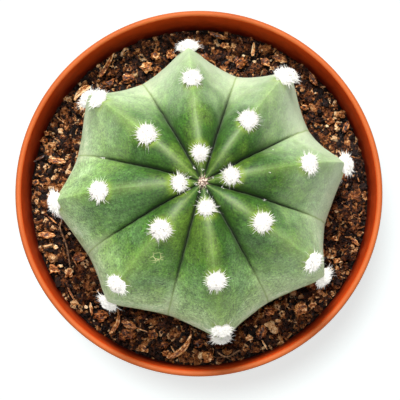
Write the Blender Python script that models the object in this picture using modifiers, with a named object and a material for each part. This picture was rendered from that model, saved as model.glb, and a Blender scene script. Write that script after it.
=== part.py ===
"""Potted echinopsis: a round eight-ribbed cactus with woolly areoles, in a 10.5 cm plastic pot.

Metres, +Z up. The origin is the centre of the pot's foot, on the surface it stands on.
"""
import math
import random

import bmesh
import bpy
from mathutils import Euler, Matrix, Vector, noise

MM = 0.001
GAP = 0.3 * MM                          # clearance between solids that touch
SEAT_GROWTH = 0.4 * MM                  # outward growth that clears the stem's sloping flanks too

# Pot: a round moulded nursery pot with an upright collar, a foot ring and drain holes.
POT_HEIGHT = 92 * MM
RIM_RADIUS = 52.5 * MM
LIP_WIDTH = 1.7 * MM
COLLAR_HEIGHT = 18 * MM
COLLAR_DRAFT = math.radians(5)
COLLAR_STEP = 0.8 * MM                  # how far the wall steps in below the collar
WALL = 1.4 * MM
FOOT_RADIUS = 37 * MM
FOOT_WIDTH = 4 * MM
FOOT_HEIGHT = 2.5 * MM
FLOOR_THICKNESS = 2 * MM
DRAIN_RADIUS = 2.5 * MM
DRAIN_CIRCLE = 24 * MM
DRAIN_COUNT = 6
POT_SEGMENTS = 64
LIP_ARC_STEPS = 3

# Soil: bark and peat that fill the pot to a little below the rim.
HEADSPACE = 13 * MM                     # soil surface below the rim
SOIL_TOP = POT_HEIGHT - HEADSPACE
SOIL_RELIEF = 0.9 * MM
SOIL_LUMP = 9 * MM                      # width of a lump in the surface
SOIL_RINGS = 9
SOIL_INNER_RING = 26 * MM               # the surface inside this ring is under the stem

# Stem: a flattened globe whose centre is at the widest level, leaning slightly.
STEM_CENTRE = Vector((1.0, -1.1, 97.5)) * MM
STEM_LEAN = Euler((math.radians(-0.45), math.radians(1.1), math.radians(7)))
RIBS = 8
# Turns from an even star, of each rib's crest and of the furrow after it.
TURN_DEG = (3.3, 0.4, 1.5, -1.2, -1.4, -0.5, -1.8, -0.4, -2, -0.8, -2.5, 0.1, 0.8, 1.5, 3.2, 1)
RIB_REACH = (0.99, 1.004, 0.984, 1.006, 1.006, 0.972, 0.99, 1)  # of the common crest radius
FURROW_SHARE = (1.22, 1.3, 1.17, 0.97, 0.87, 0.97, 1, 1.04)   # depth of the furrow after each rib
CREST_RADIUS = 41.3 * MM
CROWN_HEIGHT = 35.5 * MM
CROWN_POWER = 2.7                       # superellipse power above the widest level
ROOT_DEPTH = 40 * MM
ROOT_POWER = 1.8                        # and below it
DIMPLE_DEPTH = 4.5 * MM
DIMPLE_RADIUS = 6.5 * MM
# Furrow depth below the crest, by angle from the crown.
FURROW_DEPTH = ((0, 0), (20, 5 * MM), (42, 8.5 * MM), (90, 5.2 * MM), (118, 2.5 * MM), (180, 0))
ROUND_LOBE_POWER = 0.55                 # rib section at the crown: full round lobes
FLANK_POWER = 1.7                       # rib section at the flank: hollow sides to an edge
EDGE_SOFTNESS = 0.18
LOBE_END = 14                           # degrees from the crown where lobes start to hollow
FLANK_START = 70
RIB_STEPS = 10                          # mesh segments across one rib
STEM_RINGS = 28

# Areoles: woolly pads in a row along each crest, the rows of neighbouring ribs half a step apart.
FIRST_AREOLE_MM = (8.4, 21, 8.1, 19.9, 6.8, 17.7, 7.9, 19.9)       # from the crown, on each rib
AREOLE_STEP_MM = (22.2, 20.5, 21.8, 21.1, 22, 22.2, 20, 20.8)      # from each to the next one down
AREOLES_ON_RIB = (4, 3)
PAD_RADIUS = 2.4 * MM
PAD_HEIGHT = 1.9 * MM
# Growth of the wool, by distance from the crown in mm: it is fullest where the stem is widest.
PAD_GROWTH = ((0, 0.75), (8, 0.85), (19, 1.1), (42, 1.06), (54, 1.18), (80, 1.1))
SPINE_REACH = 0.9 * MM                  # how far the short spines stand out of the wool
CROWN_PAD_RADIUS = 1.5 * MM

# Bark pieces that lie loose on the soil: place, length, width, thickness, heading and bend.
BARK = (
    ("bark_strip_long", -4.8, -44.9, 9.7, 1.7, 1.0, 44, 2.6),
    ("bark_sliver_north", -27.1, 38.4, 8.2, 1.2, 0.9, 60, 0.3),
    ("bark_strip_curved", -34.7, 30.8, 6.3, 1.7, 0.9, 42, -1.2),
    ("bark_chip_golden", -41.7, 10.3, 5.4, 2.0, 0.9, -4, -0.4),
    ("bark_husk_west", -44.6, -11.5, 5.3, 2.0, 1.1, -3, 0.2),
    ("bark_chip_round", -34.8, -17.7, 3.5, 3.1, 1.3, 20, 0.1),
    ("bark_strip_south", -23.8, -37.0, 7.8, 1.2, 0.9, 72, 2.1),
    ("bark_chunk_dark", -20.7, -40.4, 4.6, 3.2, 2.0, 15, 0.1),
    ("bark_needle", 15.9, 43.2, 4.1, 1.0, 0.8, 85, 0.1),
    ("bark_flake_north", 23.6, 40.4, 3.9, 2.3, 0.9, -22, 0.3),
    ("bark_husk_northeast", 33.2, 34.3, 4.7, 2.0, 1.1, -60, 0.5),
    ("bark_husk_east", 43.1, 19.9, 3.8, 1.9, 1.1, 65, 0.4),
    ("bark_chunk_orange", 29.4, -33.4, 3.9, 3.3, 1.6, 35, 0.1),
    ("bark_chip_south", 18.1, -39.9, 3.8, 3.0, 1.2, 70, 0.2),
)
BARK_CUTS = 3

# Root fibres that lie on the soil, as (x, y) in mm.
FIBRES = {
    "root_fibre_west": ((-40.1, -7.1), (-40.7, -9.4), (-39.6, -12.2), (-38.5, -15.6), (-37.6, -21.0)),
    "root_fibre_south": ((5.2, -45.5), (6.9, -46.7), (8.6, -46.9), (10.1, -46.0), (11.9, -45.0)),
}
FIBRE_RADIUS = 0.35 * MM
FIBRE_STEPS = 3                         # points between two of the points above


def clear_scene():
    for obj in list(bpy.data.objects):
        bpy.data.objects.remove(obj, do_unlink=True)


def new_collection(name):
    collection = bpy.data.collections.new(name)
    bpy.context.scene.collection.children.link(collection)
    return collection


def principled(name, hex_colour, roughness):
    """A Principled material from an sRGB hex colour."""
    channels = [int(hex_colour[i:i + 2], 16) / 255 for i in (0, 2, 4)]
    linear = [c / 12.92 if c <= 0.04045 else ((c + 0.055) / 1.055) ** 2.4 for c in channels]
    material = bpy.data.materials.new(name)
    material.use_nodes = True
    shader = material.node_tree.nodes["Principled BSDF"]
    shader.inputs["Base Color"].default_value = (*linear, 1)
    shader.inputs["Roughness"].default_value = roughness
    shader.inputs["Metallic"].default_value = 0
    material.diffuse_color = (*linear, 1)
    return material


def add_object(name, data, collection, material=None, parent=None):
    obj = bpy.data.objects.new(name, data)
    collection.objects.link(obj)
    obj.parent = parent
    if material:
        data.materials.append(material)
    return obj


def mesh_from(bm, name):
    """The finished mesh of a bmesh, shaded smooth up to its sharp edges."""
    mesh = bpy.data.meshes.new(name)
    bm.to_mesh(mesh)
    bm.free()
    mesh.shade_smooth()
    mesh.set_sharp_from_angle(angle=math.radians(40))
    return mesh


def hide_cutter(obj):
    obj.hide_render = True
    obj.display_type = "WIRE"


def cut_with(obj, cutter):
    cut = obj.modifiers.new("cut_" + cutter.name, "BOOLEAN")
    cut.operation = "DIFFERENCE"
    cut.solver = "EXACT"
    cut.object = cutter


def turned(name, profile, collection, material):
    """A solid of revolution from (radius, z) points that run down its outer side."""
    mesh = bpy.data.meshes.new(name)
    edges = [(i, i + 1) for i in range(len(profile) - 1)]
    mesh.from_pydata([(r, 0, z) for r, z in profile], edges, [])
    obj = add_object(name, mesh, collection, material)
    screw = obj.modifiers.new("turn", "SCREW")
    screw.steps = POT_SEGMENTS
    screw.render_steps = POT_SEGMENTS
    screw.use_merge_vertices = True
    screw.merge_threshold = 0.00001
    screw.use_smooth_shade = True
    return obj


# ---- Pot

def collar_inner_radius(z):
    return RIM_RADIUS - LIP_WIDTH - (POT_HEIGHT - z) * math.tan(COLLAR_DRAFT)


def pot_body_outer(z):
    """Outer radius of the tapered body, from the foot up to the collar."""
    top = collar_inner_radius(POT_HEIGHT - COLLAR_HEIGHT) + WALL - COLLAR_STEP
    return FOOT_RADIUS + (top - FOOT_RADIUS) * z / (POT_HEIGHT - COLLAR_HEIGHT)


def pot_inner_radius(z):
    """Inner radius of the pot: the tapered body, and the upright collar above it."""
    collar_bottom = POT_HEIGHT - COLLAR_HEIGHT
    if z >= collar_bottom:
        return collar_inner_radius(z)
    return pot_body_outer(z) - WALL


def pot_profile():
    floor_top = FOOT_HEIGHT + FLOOR_THICKNESS
    collar_bottom = POT_HEIGHT - COLLAR_HEIGHT
    step_bottom = collar_bottom - 2 * COLLAR_STEP
    lip_radius = LIP_WIDTH / 2
    lip_centre = RIM_RADIUS - lip_radius
    corner = 1.5 * MM
    profile = [(0, floor_top), (pot_inner_radius(floor_top) - corner, floor_top)]
    profile.append((pot_inner_radius(floor_top + corner), floor_top + corner))
    profile.append((pot_inner_radius(step_bottom), step_bottom))
    profile.append((collar_inner_radius(collar_bottom), collar_bottom))
    for step in range(LIP_ARC_STEPS + 1):
        turn = math.pi * step / LIP_ARC_STEPS
        z = POT_HEIGHT - lip_radius + lip_radius * math.sin(turn)
        profile.append((lip_centre - lip_radius * math.cos(turn), z))
    profile.append((collar_inner_radius(collar_bottom) + LIP_WIDTH, collar_bottom))
    profile.append((pot_body_outer(collar_bottom), collar_bottom - 0.4 * MM))
    profile.append((pot_body_outer(corner), corner))
    profile.append((FOOT_RADIUS - 0.6 * MM, 0))
    profile.append((FOOT_RADIUS - FOOT_WIDTH, 0))
    profile.append((FOOT_RADIUS - FOOT_WIDTH - 0.8 * MM, FOOT_HEIGHT))
    profile.append((0, FOOT_HEIGHT))
    return profile


def make_drain_cutter(name, x, y, collection):
    bm = bmesh.new()
    bmesh.ops.create_cone(bm, cap_ends=True, segments=12, radius1=DRAIN_RADIUS,
                          radius2=DRAIN_RADIUS, depth=3 * FLOOR_THICKNESS)
    cutter = add_object(name, mesh_from(bm, name), collection)
    cutter.location = (x, y, FOOT_HEIGHT + FLOOR_THICKNESS / 2)
    hide_cutter(cutter)
    return cutter


def make_pot(parts, cutters):
    plastic = principled("terracotta_plastic", "C8572F", 0.45)
    pot = turned("pot", pot_profile(), parts, plastic)
    cut_with(pot, make_drain_cutter("drain_centre", 0, 0, cutters))
    for i in range(DRAIN_COUNT):
        turn = math.tau * i / DRAIN_COUNT
        x = DRAIN_CIRCLE * math.cos(turn)
        y = DRAIN_CIRCLE * math.sin(turn)
        cut_with(pot, make_drain_cutter(f"drain_{i + 1}", x, y, cutters))


# ---- Stem

def between(points, x):
    """The value at x on a smooth step curve through (x, value) points."""
    for (x0, y0), (x1, y1) in zip(points, points[1:]):
        if x <= x1:
            t = (x - x0) / (x1 - x0)
            return y0 + (y1 - y0) * t * t * (3 - 2 * t)
    return points[-1][1]


def crest_distance(polar):
    """Distance from the stem's centre to a rib's crest, at an angle from the crown."""
    across = math.sin(polar) / CREST_RADIUS
    if math.cos(polar) >= 0:
        height, power = CROWN_HEIGHT, CROWN_POWER
    else:
        height, power = ROOT_DEPTH, ROOT_POWER
    along = abs(math.cos(polar)) / height
    distance = (across ** power + along ** power) ** (-1 / power)
    if math.cos(polar) < 0:
        return distance
    return distance - DIMPLE_DEPTH * math.exp(-(distance * math.sin(polar) / DIMPLE_RADIUS) ** 2)


def rib_height(side, polar):
    """Height of a rib's section, 1 on the crest and 0 in the furrow; side goes from 0 to 1."""
    lobe = max(1 - side ** 2, 0) ** ROUND_LOBE_POWER
    soft = math.hypot(side, EDGE_SOFTNESS) - EDGE_SOFTNESS
    soft /= math.hypot(1, EDGE_SOFTNESS) - EDGE_SOFTNESS
    hollow = 1 - max(1 - (1 - soft) ** FLANK_POWER, 0) ** (1 / FLANK_POWER)
    mix = between(((0, 0), (LOBE_END, 0), (FLANK_START, 1), (180, 1)), math.degrees(polar))
    return lobe + (hollow - lobe) * mix


def round_the_star(values, star_turn):
    """The value at a place on an even star, between values that are evenly spaced round it."""
    place = star_turn / math.tau * len(values)
    step = math.floor(place)
    here, after = values[step % len(values)], values[(step + 1) % len(values)]
    return here + (after - here) * (place - step)


def rib_turn(star_turn):
    """The true azimuth of a place on an even star: each rib stands a little off its place."""
    return star_turn + math.radians(round_the_star(TURN_DEG, star_turn))


def stem_point(star_turn, polar):
    """A point of the stem's skin, from the stem's centre."""
    place = star_turn / math.tau * RIBS
    side = min(2 * abs(place - round(place)), 1)
    depth = between(FURROW_DEPTH, math.degrees(polar)) * FURROW_SHARE[math.floor(place) % RIBS]
    distance = crest_distance(polar) - depth * (1 - rib_height(side, polar))
    distance *= 1 + (round_the_star(RIB_REACH, star_turn) - 1) * math.sin(polar) ** 2
    turn = rib_turn(star_turn)
    return distance * Vector((math.sin(polar) * math.cos(turn),
                              math.sin(polar) * math.sin(turn), math.cos(polar)))


def stem_mesh(name, grow):
    """The ribbed globe, optionally grown outward from its centre to cut a seat that clears it."""
    bm = bmesh.new()
    bmesh.ops.create_uvsphere(bm, u_segments=RIBS * RIB_STEPS, v_segments=STEM_RINGS, radius=1)
    for vertex in bm.verts:
        polar = math.acos(max(-1, min(1, vertex.co.z)))
        star_turn = math.atan2(vertex.co.y, vertex.co.x) % math.tau
        skin = stem_point(star_turn, polar)
        vertex.co = skin + skin.normalized() * grow
    return mesh_from(bm, name)


def make_plant_axis(parts):
    """The empty at the stem's centre that carries the stem's lean."""
    axis = bpy.data.objects.new("plant_axis", None)
    axis.location = STEM_CENTRE
    axis.rotation_euler = STEM_LEAN
    parts.objects.link(axis)
    return axis


def make_stem(parts, axis):
    skin = principled("green_skin", "7FA163", 0.5)
    return add_object("stem", stem_mesh("stem", 0), parts, skin, axis)


def make_seat_cutter(cutters, axis):
    """The stem grown by the clearance, which cuts the soil's socket and the pads' undersides."""
    cutter = add_object("stem_seat", stem_mesh("stem_seat", SEAT_GROWTH), cutters, None, axis)
    hide_cutter(cutter)
    return cutter


# ---- Areoles

def crest_polar_at(length):
    """The angle from the crown of the place that lies this far along a crest."""
    step = math.radians(0.25)
    polar = step
    here = Vector((0, crest_distance(0)))
    while length > 0:
        distance = crest_distance(polar)
        there = Vector((distance * math.sin(polar), distance * math.cos(polar)))
        length -= (there - here).length
        here = there
        polar += step
    return polar - step


def crest_normal(star_turn, polar):
    """The skin's outward direction on a crest."""
    step = math.radians(1)
    rise = stem_point(star_turn, polar + step) - stem_point(star_turn, polar - step)
    turn = rib_turn(star_turn)
    sideways = Vector((-math.sin(turn), math.cos(turn), 0))
    return rise.cross(sideways).normalized()


def pad_mesh(name, radius, height, reach, seed):
    """A tuft of wool: a low dome with short points all over it."""
    rng = random.Random(seed)
    bm = bmesh.new()
    bmesh.ops.create_icosphere(bm, subdivisions=2, radius=1)
    for vertex in bm.verts:
        vertex.co *= rng.uniform(0.9, 1.08)
    outer = [face for face in bm.faces if face.calc_center_median().z > 0.1]
    poked = bmesh.ops.poke(bm, faces=outer, offset=0)
    bmesh.ops.scale(bm, vec=(radius, radius, height), verts=bm.verts)
    for vertex in poked["verts"]:
        vertex.co += vertex.co.normalized() * reach * rng.uniform(0.4, 1)
    return mesh_from(bm, name)


def place_pad(name, mesh, parts, wool, axis, point, normal, seat):
    pad = add_object(name, mesh, parts, wool, axis)
    pad.location = point
    pad.rotation_euler = normal.to_track_quat("Z", "Y").to_euler()
    cut_with(pad, seat)


def make_areoles(parts, axis, seat):
    wool = principled("areole_wool", "F2F0E8", 0.95)
    for rib in range(RIBS):
        star_turn = math.tau * rib / RIBS
        for tier in range(AREOLES_ON_RIB[rib % 2]):
            from_crown = FIRST_AREOLE_MM[rib] + tier * AREOLE_STEP_MM[rib]
            polar = crest_polar_at(from_crown * MM)
            name = f"areole_{rib + 1}_{tier + 1}"
            seed = 10 * rib + tier
            growth = between(PAD_GROWTH, from_crown)
            mesh = pad_mesh(name, growth * PAD_RADIUS, growth * PAD_HEIGHT, SPINE_REACH, seed)
            point = stem_point(star_turn, polar)
            normal = crest_normal(star_turn, polar)
            place_pad(name, mesh, parts, wool, axis, point, normal, seat)


def make_crown_tuft(parts, axis, seat):
    wool = principled("crown_wool", "C9AE9C", 0.95)
    mesh = pad_mesh("crown_tuft", CROWN_PAD_RADIUS, CROWN_PAD_RADIUS, 0.5 * MM, 99)
    place_pad("crown_tuft", mesh, parts, wool, axis, stem_point(0, 0), Vector((0, 0, 1)), seat)


# ---- Soil

def soil_height(x, y):
    """Height of the soil's surface, with low lumps."""
    lump = noise.noise(Vector((x, y, 0)) / SOIL_LUMP)
    return SOIL_TOP + SOIL_RELIEF * lump


def make_soil(parts, seat):
    """A turned body that fills the pot, lumpy on top, with a socket for the stem."""
    bark = principled("bark_soil", "3A2418", 0.9)
    bottom = FOOT_HEIGHT + FLOOR_THICKNESS + GAP
    corner = 2 * MM
    collar_bottom = POT_HEIGHT - COLLAR_HEIGHT
    step_bottom = collar_bottom - 2 * COLLAR_STEP
    edge = pot_inner_radius(SOIL_TOP) - GAP
    ring_step = (edge - SOIL_INNER_RING) / SOIL_RINGS
    profile = [(0, SOIL_TOP)]
    profile += [(SOIL_INNER_RING + i * ring_step, SOIL_TOP) for i in range(SOIL_RINGS + 1)]
    profile.append((pot_inner_radius(collar_bottom) - GAP, collar_bottom))
    profile.append((pot_inner_radius(step_bottom) - GAP, step_bottom))
    profile.append((pot_inner_radius(bottom + corner) - GAP, bottom + corner))
    profile.append((pot_inner_radius(bottom) - GAP - corner, bottom))
    profile.append((0, bottom))
    bm = bmesh.new()
    verts = [bm.verts.new((r, 0, z)) for r, z in profile]
    edges = [bm.edges.new(pair) for pair in zip(verts, verts[1:])]
    bmesh.ops.spin(bm, geom=verts + edges, cent=(0, 0, 0), axis=(0, 0, 1), angle=math.tau,
                   steps=POT_SEGMENTS, use_merge=True)
    bmesh.ops.remove_doubles(bm, verts=bm.verts, dist=0.00001)
    bmesh.ops.recalc_face_normals(bm, faces=bm.faces)
    top = [v for v in bm.verts if v.co.z > SOIL_TOP - 0.1 * MM]
    for vertex in top:
        vertex.co.z = soil_height(vertex.co.x, vertex.co.y)
    soil = add_object("soil", mesh_from(bm, "soil"), parts, bark)
    cut_with(soil, seat)


def make_bark(parts):
    colours = ("8A5A33", "6B3F22", "B07A45")
    barks = [principled(f"bark_{i + 1}", colour, 0.8) for i, colour in enumerate(colours)]
    for i, (name, x, y, length, width, thickness, heading, bend) in enumerate(BARK):
        bm = bmesh.new()
        bmesh.ops.create_cube(bm, size=1)
        long_edges = [e for e in bm.edges if abs(e.verts[0].co.x - e.verts[1].co.x) > 0.5]
        bmesh.ops.subdivide_edges(bm, edges=long_edges, cuts=BARK_CUTS)
        for vertex in bm.verts:
            along = 2 * vertex.co.x
            taper = 1 - 0.45 * along ** 2
            vertex.co.y = vertex.co.y * taper + 0.5 * bend / width * along ** 2
            vertex.co.z *= taper
        bmesh.ops.scale(bm, vec=(length * MM, width * MM, thickness * MM), verts=bm.verts)
        bark = add_object(name, mesh_from(bm, name), parts, barks[i % len(barks)])
        turn = Matrix.Rotation(math.radians(heading), 3, "Z")
        reach = [turn @ Vector((t * length / 2, w * width / 2 + bend / 2 * t * t, 0)) * MM
                 for t in (-1, -0.5, 0, 0.5, 1) for w in (-1, 0, 1)]
        ground = max(soil_height(x * MM + p.x, y * MM + p.y) for p in reach)
        bark.location = (x * MM, y * MM, ground + GAP + thickness * MM / 2)
        bark.rotation_euler = (0, 0, math.radians(heading))


def smooth_route(points, steps):
    """Points along a smooth curve through the given ones."""
    padded = [points[0], *points, points[-1]]
    route = []
    for before, start, end, after in zip(padded, padded[1:], padded[2:], padded[3:]):
        for step in range(steps):
            t = step / steps
            weights = (-t + 2 * t * t - t ** 3, 2 - 5 * t * t + 3 * t ** 3,
                       t + 4 * t * t - 3 * t ** 3, t ** 3 - t * t)
            route.append(tuple(sum(w * p[axis] for w, p in zip(weights, (before, start, end, after))) / 2
                               for axis in (0, 1)))
    return route + [points[-1]]


def make_fibres(parts):
    colour = principled("root_fibre", "9C6B3F", 0.8)
    for name, points in FIBRES.items():
        route = smooth_route(points, FIBRE_STEPS)
        curve = bpy.data.curves.new(name, "CURVE")
        curve.dimensions = "3D"
        curve.bevel_depth = FIBRE_RADIUS
        curve.bevel_resolution = 1
        curve.use_fill_caps = True
        spline = curve.splines.new("POLY")
        spline.points.add(len(route) - 1)
        for point, (x, y) in zip(spline.points, route):
            z = soil_height(x * MM, y * MM) + FIBRE_RADIUS + 1.5 * GAP
            point.co = (x * MM, y * MM, z, 1)
        add_object(name, curve, parts, colour)


def build():
    clear_scene()
    parts = new_collection("potted_echinopsis")
    cutters = new_collection("cutters")
    make_pot(parts, cutters)
    axis = make_plant_axis(parts)
    make_stem(parts, axis)
    seat = make_seat_cutter(cutters, axis)
    make_areoles(parts, axis, seat)
    make_crown_tuft(parts, axis, seat)
    make_soil(parts, seat)
    make_bark(parts)
    make_fibres(parts)


build()
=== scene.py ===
"""Potted echinopsis: a small ribbed cactus with woolly areoles, in bark soil in a plastic pot.

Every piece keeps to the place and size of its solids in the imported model. Each section makes one
part of the pot or the plant, in the order of potting up. Lengths are metres, or mm times MM.
"""
import functools
import random
from math import (acos, atan2, cos, degrees, exp, floor, hypot, pi, radians, sin, sqrt, tan,
                  tau)

import bmesh
import bpy
from mathutils import Matrix, Vector
from mathutils.noise import fractal, noise


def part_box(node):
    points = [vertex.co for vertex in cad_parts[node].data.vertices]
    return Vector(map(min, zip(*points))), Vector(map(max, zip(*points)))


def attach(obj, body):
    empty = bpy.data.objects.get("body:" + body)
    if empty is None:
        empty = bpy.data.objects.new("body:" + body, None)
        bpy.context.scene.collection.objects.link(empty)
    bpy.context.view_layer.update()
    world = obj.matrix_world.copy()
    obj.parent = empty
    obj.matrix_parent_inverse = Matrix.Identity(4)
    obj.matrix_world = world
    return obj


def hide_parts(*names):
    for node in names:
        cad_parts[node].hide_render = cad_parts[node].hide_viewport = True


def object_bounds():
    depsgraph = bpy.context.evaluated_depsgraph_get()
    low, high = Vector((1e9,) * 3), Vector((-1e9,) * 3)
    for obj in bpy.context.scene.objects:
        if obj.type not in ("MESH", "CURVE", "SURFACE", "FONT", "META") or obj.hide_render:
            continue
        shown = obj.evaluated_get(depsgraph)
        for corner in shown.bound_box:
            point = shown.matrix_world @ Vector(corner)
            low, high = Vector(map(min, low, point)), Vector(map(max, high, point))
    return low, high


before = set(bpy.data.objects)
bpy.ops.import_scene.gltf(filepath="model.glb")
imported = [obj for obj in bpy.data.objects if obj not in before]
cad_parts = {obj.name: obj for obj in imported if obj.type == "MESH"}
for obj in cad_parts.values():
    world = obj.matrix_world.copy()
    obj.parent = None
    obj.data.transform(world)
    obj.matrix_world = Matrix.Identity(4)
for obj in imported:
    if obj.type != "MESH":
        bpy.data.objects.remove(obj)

cad_box = [list(corner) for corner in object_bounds()]


# ---- Studio: a white table lit by three softboxes, a strong one high up behind the plant, a small
# one overhead and a broad weak one in front, and by an even white surround. The camera hangs half
# a metre above the rim and looks almost straight down.

MM = 0.001
CAMERA_ABOVE_RIM = 500 * MM
CAMERA_TILT_DEG = (0.75, -5)  # lean of the line of sight towards +X and +Y
CAMERA_AIM = Vector((0.4, -2.36, 0)) * MM
LENS, SENSOR_WIDTH = 158.35, 36  # in mm
TABLE_REACH = 3  # in metres, from its middle to each side
LAMPS = (  # name, place in metres, diameter, watts
    ("softbox_back", (-0.06, 0.56, 0.98), 0.26, 14.6),
    ("softbox_top", (-0.06, 0.05, 1.2), 0.14, 7.4),
    ("softbox_front", (0.1, -0.78, 0.84), 0.5, 2.8),
)
SURROUND = 0.02  # strength of the white all round
TABLE_GLOW = 0.73  # strength of the light from under the table's sheet


def linear(hex_colour):
    """An sRGB hex colour as linear red, green, blue and alpha."""
    channels = [int(hex_colour[i:i + 2], 16) / 255 for i in (0, 2, 4)]
    return (*(c / 12.92 if c <= 0.04045 else ((c + 0.055) / 1.055) ** 2.4 for c in channels), 1)


def plug(socket, value):
    """Gives an input a value, a hex colour, or a link from a socket or a node's first output."""
    if isinstance(value, bpy.types.Node):
        value = next(output for output in value.outputs if output.enabled)
    if isinstance(value, bpy.types.NodeSocket):
        socket.id_data.links.new(value, socket)
    else:
        socket.default_value = linear(value) if isinstance(value, str) else value


def add_node(tree, kind, inputs=(), stops=(), **settings):
    """Adds a shader node with its settings, its colour stops and its inputs."""
    made = tree.nodes.new("ShaderNode" + kind)
    for name, value in settings.items():
        setattr(made, name, value)
    for i, (position, colour) in enumerate(stops):
        elements = made.color_ramp.elements
        stop = elements[i] if i < 2 else elements.new(position)
        stop.position = position
        stop.color = linear(colour) if isinstance(colour, str) else (colour, colour, colour, 1)
    for name, value in dict(inputs).items():
        plug(made.inputs[name], value)
    return made


def feed(shader, **sockets):
    """Plugs constants and nodes into the shader's sockets."""
    for name, value in sockets.items():
        plug(shader.inputs[name.replace("_", " ")], value)


def new_finish(name, **constants):
    """A Principled material, what adds a node to it, its shader and its Object coordinates."""
    material = bpy.data.materials.new(name)
    material.use_nodes = True
    shader = material.node_tree.nodes["Principled BSDF"]
    feed(shader, **constants)
    node = functools.partial(add_node, material.node_tree)
    return material, node, shader, node("TexCoord").outputs["Object"]


def mesh_from(bm, name):
    """The mesh of a bmesh, which is freed."""
    mesh = bpy.data.meshes.new(name)
    bm.to_mesh(mesh)
    bm.free()
    return mesh


def in_scene(name, data):
    """A new object of the scene that holds a mesh, lamp or camera."""
    made = bpy.data.objects.new(name, data)
    bpy.context.scene.collection.objects.link(made)
    return made


def piece_from(bm, name, *materials, smooth_deg=50):
    """The finished piece from its bmesh: an object at the origin, with its place in its mesh."""
    mesh = mesh_from(bm, name)
    mesh.shade_smooth()
    mesh.set_sharp_from_angle(angle=radians(smooth_deg))
    for material in materials:
        mesh.materials.append(material)
    return in_scene(name, mesh)


_, pot_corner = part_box("pot")
rim_radius = pot_corner.x
rim_top = pot_corner.z

# Opal white acrylic sheet, lit a little from below, so that only the closest shadow shows on it.
acrylic, node, shader, place = new_finish(
    "opal_acrylic_sheet", Base_Color="C0CCCC", Roughness=0.7,
    Emission_Strength=TABLE_GLOW, Emission_Color="FAFFFF")
sheet = bmesh.new()
bmesh.ops.create_grid(sheet, x_segments=1, y_segments=1, size=TABLE_REACH)
table = piece_from(sheet, "table", acrylic)

world = bpy.data.worlds.new("white_surround")
world.use_nodes = True
feed(world.node_tree.nodes["Background"], Color="FFFFFF", Strength=SURROUND)
bpy.context.scene.world = world

for name, place, diameter, watts in LAMPS:
    lamp = bpy.data.lights.new(name, "AREA")
    lamp.shape = "DISK"
    lamp.size = diameter
    lamp.energy = watts
    softbox = in_scene(name, lamp)
    softbox.location = place
    aim = Vector((0, 0, rim_top)) - softbox.location
    softbox.rotation_euler = aim.to_track_quat("-Z", "Y").to_euler()

# Flags keep the two slanting softboxes off the table, so that they cast no long shadow there.
flagged = bpy.data.collections.new("flagged_from_slanting_light")
flagged.objects.link(table)
flagged.collection_objects[0].light_linking.link_state = "EXCLUDE"
for name in ("softbox_back", "softbox_front"):
    bpy.data.objects[name].light_linking.receiver_collection = flagged

view = bpy.data.cameras.new("camera")
view.lens = LENS
view.sensor_width = SENSOR_WIDTH
view.clip_start = 0.01
camera = in_scene("camera", view)
back = Vector((*(tan(radians(tilt)) for tilt in CAMERA_TILT_DEG), 1)) * CAMERA_ABOVE_RIM
right = Vector((0, 1, 0)).cross(back).normalized()
axes = Matrix((right, back.cross(right).normalized(), back.normalized())).transposed().to_4x4()
camera.matrix_world = Matrix.Translation(CAMERA_AIM + Vector((0, 0, rim_top)) + back) @ axes
bpy.context.scene.camera = camera
bpy.context.scene.view_settings.view_transform = "Standard"


# ---- Pot: a round nursery pot, injection-moulded in one shot of terracotta-coloured
# polypropylene. It has a rounded lip, an upright stacking collar, a foot ring and seven drain holes.

LIP_WIDTH = 1.7 * MM
COLLAR_HEIGHT = 18 * MM
COLLAR_DRAFT = radians(5)
COLLAR_STEP = 0.8 * MM
WALL = 1.4 * MM
FOOT_RADIUS = 37 * MM
FOOT_WIDTH = 4 * MM
FOOT_HEIGHT = 2.5 * MM
FOOT_DRAFT = 0.8 * MM  # how much wider the foot ring is at its root
FLOOR_THICKNESS = 2 * MM
DRAIN_RADIUS = 2.5 * MM
DRAIN_CIRCLE = 24 * MM
DRAINS_ON_CIRCLE = 6  # and a seventh in the middle
CORNER = 1.5 * MM  # rounding at the foot, and twice that round the floor
COLLAR_CORNER = 0.5 * MM
STEP_CORNER = 0.3 * MM
WALL_RINGS = (15 * MM, 11 * MM, 5 * MM)  # below the rim
TURNED_STEPS = 192
SOIL_BELOW_RIM = 13 * MM
LIP_MARGIN = 0.15 * MM  # how far the inside's colour reaches past these edges
COLLAR_MARGIN = 0.1 * MM


def arc(centre, radius, start, end, steps):
    """Points of an arc in the (radius, height) plane; angles in degrees from straight out."""
    turns = [radians(start + (end - start) * i / steps) for i in range(steps + 1)]
    return [(centre[0] + radius * cos(t), centre[1] + radius * sin(t)) for t in turns]


def turned(profile):
    """A solid of revolution about the pot's axis, from (radius, height) points."""
    bm = bmesh.new()
    verts = [bm.verts.new((r, 0, z)) for r, z in profile]
    edges = [bm.edges.new(pair) for pair in zip(verts, verts[1:])]
    bmesh.ops.spin(bm, geom=verts + edges, cent=(0, 0, 0), axis=(0, 0, 1), angle=tau,
                   steps=TURNED_STEPS, use_merge=True)
    bmesh.ops.remove_doubles(bm, verts=bm.verts, dist=0.01 * MM)
    bmesh.ops.recalc_face_normals(bm, faces=bm.faces)
    return bm


def collar_inner(z):
    return rim_radius - LIP_WIDTH - (rim_top - z) * tan(COLLAR_DRAFT)


collar_bottom = rim_top - COLLAR_HEIGHT
body_top = collar_inner(collar_bottom) + WALL - COLLAR_STEP


def body_outer(z):
    return FOOT_RADIUS + (body_top - FOOT_RADIUS) * z / collar_bottom


def pot_inner(z):
    return collar_inner(z) if z >= collar_bottom else body_outer(z) - WALL


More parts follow.
